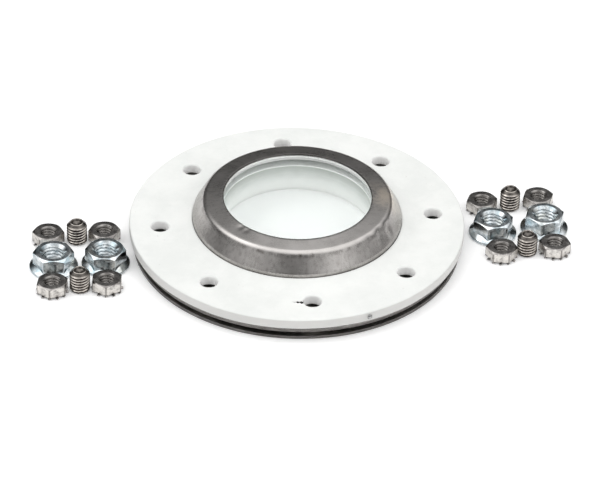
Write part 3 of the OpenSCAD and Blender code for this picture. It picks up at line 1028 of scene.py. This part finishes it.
def threaded_bore(radius, sink, low, high, pitch, depth):
    """Rows of a tapped bore from high down to low, with a 45 degree countersink at each end."""
    rows_a_pitch = 12
    height = levels(high, low, int((high - low) / pitch * rows_a_pitch) + 1)
    thread = radius + depth - thread_reach(height, pitch, depth)
    cone = radius + sink - np.minimum(high - height, height - low)
    return np.maximum(thread, cone), height


def nut_mesh(name, outside, bore):
    """A nut from its outside line and the rows of its bore, whose ends meet that line's ends."""
    outside = outside[1:-1]
    radius = np.concatenate([outside[:, 0], bore[0]])
    height = np.concatenate([outside[:, 1], bore[1]])
    return turned_mesh(name, radius, height, True)


def crowned(hexagon_r, across_flats, top):
    """Radius of a nut's flat top, and the height at which its 30 degree chamfer meets the sides."""
    crown_r = NUT_CROWN * across_flats / 2
    return crown_r, top - (hexagon_r - crown_r) * math.tan(math.radians(30))


def lock_nut_mesh():
    """A hexagon nut whose turned collar holds a washer: chamfered top, tapped bore."""
    hexagon_r = hexagon(LOCK_AF)
    crown_r, chamfer_z = crowned(hexagon_r, LOCK_AF, LOCK_H)
    sink_r = LOCK_BORE_R + LOCK_SINK
    outside = rounded([
        (sink_r, COLLAR_Z, 0), (SWAGE_R, COLLAR_Z, 0.08), (SWAGE_R, SWAGE_Z, 0.05),
        (COLLAR_R, SWAGE_Z, 0.05), (COLLAR_R, LOCK_SEAT_Z, 0.05), (hexagon_r, LOCK_SEAT_Z, 0.12),
        (hexagon_r, chamfer_z, 0.07), (crown_r, LOCK_H, 0.25), (sink_r, LOCK_H, 0)], steps=3)
    bore = threaded_bore(LOCK_BORE_R, LOCK_SINK, COLLAR_Z, LOCK_H, LOCK_PITCH, LOCK_THREAD)
    return nut_mesh("lock_nut", outside, bore)


def washer_ring_mesh():
    """The dished ring of the washer, without its teeth."""
    outline = closed_ring([
        (WASHER_BORE_R, WASHER_BORE_LOW, 0.08), (TOOTH_ROOT_R, WASHER_ROOT_Z, 0.05),
        (TOOTH_ROOT_R, WASHER_ROOT_Z + WASHER_T, 0.08), (WASHER_BORE_R, WASHER_BORE_TOP, 0.08)], steps=3)
    return lathed("washer", outline, WASHER_COLUMNS)


def tooth_mesh():
    """One twisted tooth, pointing along +X, with its root inside the ring."""
    root_overlap, tip_gap = 0.35, 0.08
    start, end = TOOTH_ROOT_R - root_overlap, WASHER_R - tip_gap
    root_half, tip_half, half_t = 0.58, 0.50, 0.2
    root_z, droop = 0.52, 0.04
    rows = 7
    places = []
    for index in range(rows):
        t = index / (rows - 1)
        half = root_half + (tip_half - root_half) * t
        twist = math.radians(TOOTH_TWIST) * t
        x = start + (end - start) * t
        middle = root_z - droop * t
        for y, z in [(-half, -half_t), (half, -half_t), (half, half_t), (-half, half_t)]:
            places.append((x, y * math.cos(twist) - z * math.sin(twist),
                           middle + y * math.sin(twist) + z * math.cos(twist)))
    faces = [(0, 3, 2, 1), tuple(4 * (rows - 1) + k for k in range(4))]
    for row in range(rows - 1):
        for k in range(4):
            after = (k + 1) % 4
            faces.append((4 * row + k, 4 * row + after, 4 * row + 4 + after, 4 * row + 4 + k))
    return solid_mesh("tooth", places, faces)


def flange_nut_mesh():
    """A hexagon nut on a cone that spreads to a round flange, with a tapped bore."""
    hexagon_r = hexagon(FLANGE_AF)
    crown_r, chamfer_z = crowned(hexagon_r, FLANGE_AF, FLANGE_NUT_H)
    cone_r, cone_z = FLANGE_AF / 2 - 0.2, FLANGE_RIM + FLANGE_CONE
    rim_r = FLANGE_NUT_R - 0.25
    fall = (cone_z - FLANGE_RIM) / (rim_r - cone_r)
    meet_z = cone_z - (hexagon_r - cone_r) * fall
    sink_r = FLANGE_BORE_R + FLANGE_SINK
    outside = rounded([
        (sink_r, 0.0, 0), (FLANGE_NUT_R, 0.0, FLANGE_RIM / 2), (FLANGE_NUT_R, FLANGE_RIM, 0.4),
        (hexagon_r, meet_z, 0.18), (hexagon_r, chamfer_z, 0.09), (crown_r, FLANGE_NUT_H, 0.3),
        (sink_r, FLANGE_NUT_H, 0)], steps=4)
    bore = threaded_bore(FLANGE_BORE_R, FLANGE_SINK, 0.0, FLANGE_NUT_H, FLANGE_PITCH, FLANGE_THREAD)
    return nut_mesh("flange_nut", outside, bore)


def set_screw_mesh():
    """A short screw without a head: cup point up, hexagon socket below, threaded all along."""
    socket_r = hexagon(SOCKET_AF)
    tail, hub = 0.7, 0.02
    drill_point, socket_chamfer = 0.8, 0.15
    below_thread = rounded([
        (hub, SOCKET_DEPTH + drill_point, 0), (socket_r, SOCKET_DEPTH, 0.05),
        (socket_r, socket_chamfer, 0.05), (socket_r + socket_chamfer, 0.0, 0.05),
        (SCREW_R - tail, 0.0, 0)], steps=2)

    rows_a_pitch = 14
    count = int((SCREW_H - 0.4) / SCREW_PITCH * rows_a_pitch)
    height = levels(0.05, SCREW_H - 0.35, count)
    thread = SCREW_R - thread_reach(height, SCREW_PITCH, SCREW_THREAD)
    tail_cone = SCREW_R - tail + height
    nose_cone = CUP_R + (SCREW_H - height)
    radius = np.minimum(thread, np.minimum(tail_cone, nose_cone))

    cup_floor = SCREW_H - CUP_R * math.tan(math.radians(30))
    above_thread = rounded([
        (CUP_R + 0.25, SCREW_H - 0.22, 0), (CUP_R, SCREW_H, 0.12), (CUP_R - 0.35, SCREW_H - 0.05, 0.1),
        (CUP_R - 0.8, SCREW_H - 0.9, 0.2), (hub, cup_floor, 0)], steps=3)
    above_thread = np.repeat(above_thread[:, :, None], HARDWARE_COLUMNS, 2)
    rows_r = np.concatenate([below_thread[:, 0], radius, above_thread[:, 0]])
    rows_z = np.concatenate([below_thread[:, 1], height, above_thread[:, 1]])
    return turned_mesh("set_screw", rows_r, rows_z, False)


def remember_own_place(mesh):
    """Keeps each point's place about the piece's own axis, for patterns that follow it."""
    places = np.zeros(len(mesh.vertices) * 3, np.float32)
    mesh.vertices.foreach_get("co", places)
    mesh.attributes.new("own_place", "FLOAT_VECTOR", "POINT").data.foreach_set("vector", places)


def lay_out(mesh, kind, turns, finish):
    """Copies of a piece of hardware, each turned and moved to where its CAD node lies."""
    remember_own_place(mesh)
    for number, turn in enumerate(turns, 1):
        node = f"{kind}_{number}"
        low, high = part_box(node)
        copy = mesh.copy()
        middle = Vector(((low.x + high.x) / 2, (low.y + high.y) / 2, 0))
        copy.transform(Matrix.Translation(middle) @ Matrix.Rotation(math.radians(turn), 4, "Z"))
        finished(f"{node}_piece", copy, finish, node, [node])
    bpy.data.meshes.remove(mesh)


def build_hardware():
    """The loose nuts, washers and screws on both sides."""
    lock_corner_r = LOCK_AF / 2 / math.cos(math.radians(30))
    steel = machined("turned_stainless", TURNED_DARK, TURNED_LIGHT, (0.16, 0.30), 4200.0, 0.85,
                     recess=(2.7, 3.2, LOCK_H - 0.3), corner=lock_corner_r)
    lay_out(lock_nut_mesh(), "lock_nut", LOCK_TURNS, steel)

    hardened = machined("hardened_washer", HARDENED_DARK, HARDENED_LIGHT, (0.25, 0.42), 2600.0, 0.1)
    weld = circle_tree("washer_teeth", "UNION")
    washer = grown(washer_ring_mesh(), weld, tooth_mesh(), Count=TEETH, Circle_radius=0.0, Phase=0.0,
                   Finish=hardened)
    lay_out(washer, "lock_washer", LOCK_TURNS, hardened)

    lay_out(flange_nut_mesh(), "flange_nut", FLANGE_TURNS, blue_zinc())

    warm = machined("machined_stainless", WARM_DARK, WARM_LIGHT, (0.14, 0.26), 3600.0, 0.2,
                    recess=(3.4, 3.9, SCREW_H - 0.1))
    lay_out(set_screw_mesh(), "set_screw", SCREW_TURNS, warm)


# ---------------------------------------------------------------- floor, light and camera


def build_floor():
    """A plain pale floor that reaches past every view, faintly lit from below as a light table is."""
    f = Finish("pale_floor", Specular_IOR_Level=0.0, Roughness=1.0, Emission_Color=(1, 1, 1, 1),
               Emission_Strength=0.14)
    drift = f.noise(f.place, 1.5, 2.0)
    f.wear(f.mix(f.ramp(drift, 0.2, 0.8), FLOOR_DARK, FLOOR_LIGHT))
    half = 6.0
    corners = [(-half, -half, 0), (half, -half, 0), (half, half, 0), (-half, half, 0)]
    mesh = bpy.data.meshes.new("floor")
    mesh.from_pydata(corners, [], [(0, 1, 2, 3)])
    mesh.materials.append(f.material)
    scene_object("floor", mesh)


# The soft boxes over the table, each a glow in the sky: azimuth from +Y towards +X and elevation,
# both in degrees, how sharply it falls off, and its strength
GLOWS = [(0, 90, 5, 1.3), (0, 62, 50, 0.85), (40, 50, 16, 0.75), (90, 48, 8, 0.6), (135, 48, 8, 0.8),
         (225, 48, 8, 0.5), (275, 46, 14, 2.0), (90, 12, 12, 0.3), (135, 12, 12, 0.8),
         (225, 12, 12, 0.55)]
ROOM_LEVEL = 0.03
ROOM_BRIGHTNESS = 1.14


def sky_direction(azimuth, elevation):
    """Unit vector towards a place in the sky, from angles in degrees."""
    turn, rise = math.radians(azimuth), math.radians(elevation)
    return Vector((math.sin(turn) * math.cos(rise), math.cos(turn) * math.cos(rise), math.sin(rise)))


def build_sky():
    """A light tent: a dim room with broad soft boxes that fade into it."""
    world = bpy.data.worlds.new("studio")
    bpy.context.scene.world = world
    world.use_nodes = True
    tree = world.node_tree
    direction = tree.nodes.new("ShaderNodeTexCoord").outputs["Generated"]
    total = ROOM_LEVEL
    for azimuth, elevation, sharpness, strength in GLOWS:
        facing = tree.nodes.new("ShaderNodeVectorMath")
        facing.operation = "DOT_PRODUCT"
        connect(tree, direction, facing.inputs[0])
        facing.inputs[1].default_value = sky_direction(azimuth, elevation)
        glow = computed(tree, "MAXIMUM", facing.outputs["Value"], 0.0)
        glow = computed(tree, "POWER", glow, sharpness)
        glow = computed(tree, "MULTIPLY", glow, strength)
        total = computed(tree, "ADD", glow, total)
    tree.links.new(total, tree.nodes["Background"].inputs["Color"])
    tree.nodes["Background"].inputs["Strength"].default_value = ROOM_BRIGHTNESS


def build_lamp():
    """A small lamp high on the left that puts crisp glints on the plated edges."""
    place = sky_direction(300, 62) * 1.4
    lamp = bpy.data.lights.new("lamp", "AREA")
    lamp.shape = "RECTANGLE"
    lamp.size = 0.2
    lamp.size_y = 0.2
    lamp.energy = 0.6
    holder = scene_object("lamp", lamp)
    holder.location = place
    holder.rotation_euler = (-place).to_track_quat("-Z", "Y").to_euler()


def build_camera():
    elevation, roll = math.radians(35.48), math.radians(-1.48)
    distance = 1.3268
    aim_right, aim_up = 0.00118, -0.00807
    target = Vector((0, 0, GASKET_TOP * MM))
    forward = Vector((0, math.cos(elevation), -math.sin(elevation)))
    level_right = Vector((1, 0, 0))
    level_up = level_right.cross(forward)
    right = level_right * math.cos(roll) - level_up * math.sin(roll)
    up = level_right * math.sin(roll) + level_up * math.cos(roll)
    lens = bpy.data.cameras.new("camera")
    lens.sensor_width = 36
    lens.lens = 202.26
    lens.clip_start = 0.05
    lens.clip_end = 30
    camera = scene_object("camera", lens)
    place = target - forward * distance + right * aim_right + up * aim_up
    turn = Matrix((right, up, -forward)).transposed().to_4x4()
    camera.matrix_world = Matrix.Translation(place) @ turn
    bpy.context.scene.camera = camera


build_stack()
build_hardware()
build_floor()
build_sky()
build_lamp()
build_camera()
bpy.context.scene.view_settings.view_transform = "Standard"
